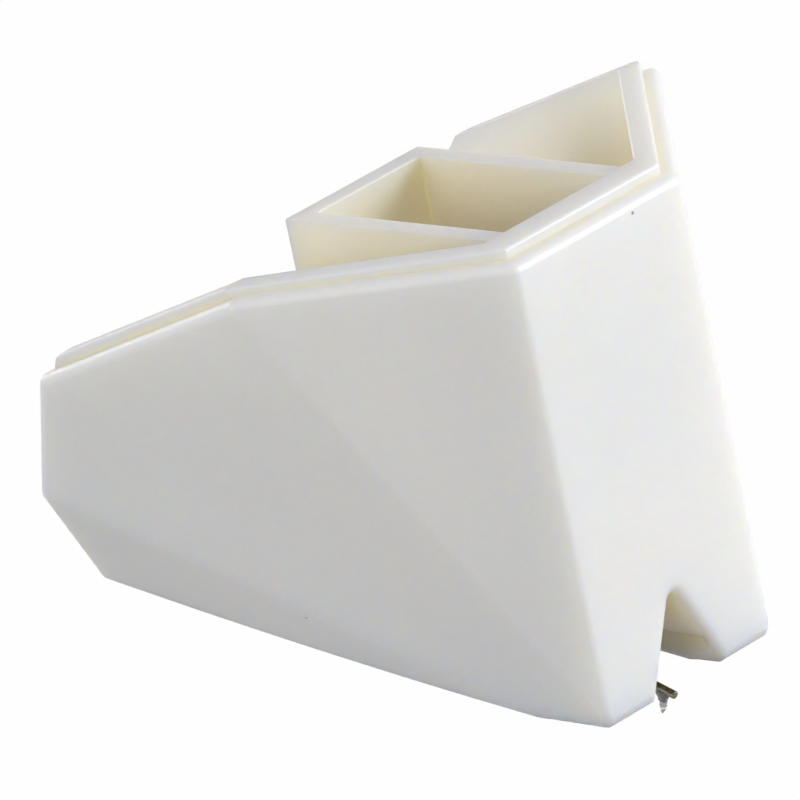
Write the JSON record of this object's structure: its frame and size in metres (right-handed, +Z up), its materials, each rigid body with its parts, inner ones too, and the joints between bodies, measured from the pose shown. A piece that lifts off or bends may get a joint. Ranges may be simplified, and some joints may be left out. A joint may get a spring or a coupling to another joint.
{
  "type": "replaceable turntable stylus unit",
  "caption": "Plug-on stylus unit for a moving-magnet pickup: faceted white moulded shell with a stepped rim and deep well, sprung cantilever and diamond tip in a front notch.",
  "frame": {"origin": "middle of the well's mouth, at the height of the rim, where the pickup body seats", "axes": "+Z up out of the well, the way the pickup body lies and leaves; -Y to the front face, where the stylus points; X across the mirror plane"},
  "size_m": [0.0172, 0.0168, 0.0149],
  "materials": {
    "housing": "satin gloss ivory white moulding",
    "aluminium": "drawn tube",
    "rubber": "matte moulded",
    "magnet": "nickel plated",
    "brass": "turned",
    "spring_steel": "drawn wire",
    "cantilever": "anodised dark grey",
    "shank": "ground round",
    "diamond": "polished",
    "resin": "clear cured resin"
  },
  "bodies": {
    "housing": {"stylus_housing": "housing", "suspension_tube": "aluminium", "wire_plug": "brass", "tie_wire": "spring_steel"},
    "suspension": {"damper_ring": "rubber"},
    "stylus_arm": {"cantilever": "cantilever", "magnet_carrier": "aluminium", "magnet": "magnet", "wire_ferrule": "brass", "stylus_shank": "shank", "diamond_tip": "diamond", "bond_bead": "resin"}
  },
  "joints": [
    {"name": "lateral_flex", "type": "hinge", "parent": "housing", "child": "suspension", "pos_m": [0, 0.00393, -0.01102], "axis": [0, -0.3338, 0.9426], "range_deg": [-3, 3], "stiffness_Nm_per_rad": 0.0032},
    {"name": "vertical_flex", "type": "hinge", "parent": "suspension", "child": "stylus_arm", "pos_m": [0, 0.00393, -0.01102], "axis": [-1, 0, 0], "range_deg": [-2, 3], "stiffness_Nm_per_rad": 0.0032}
  ]
}
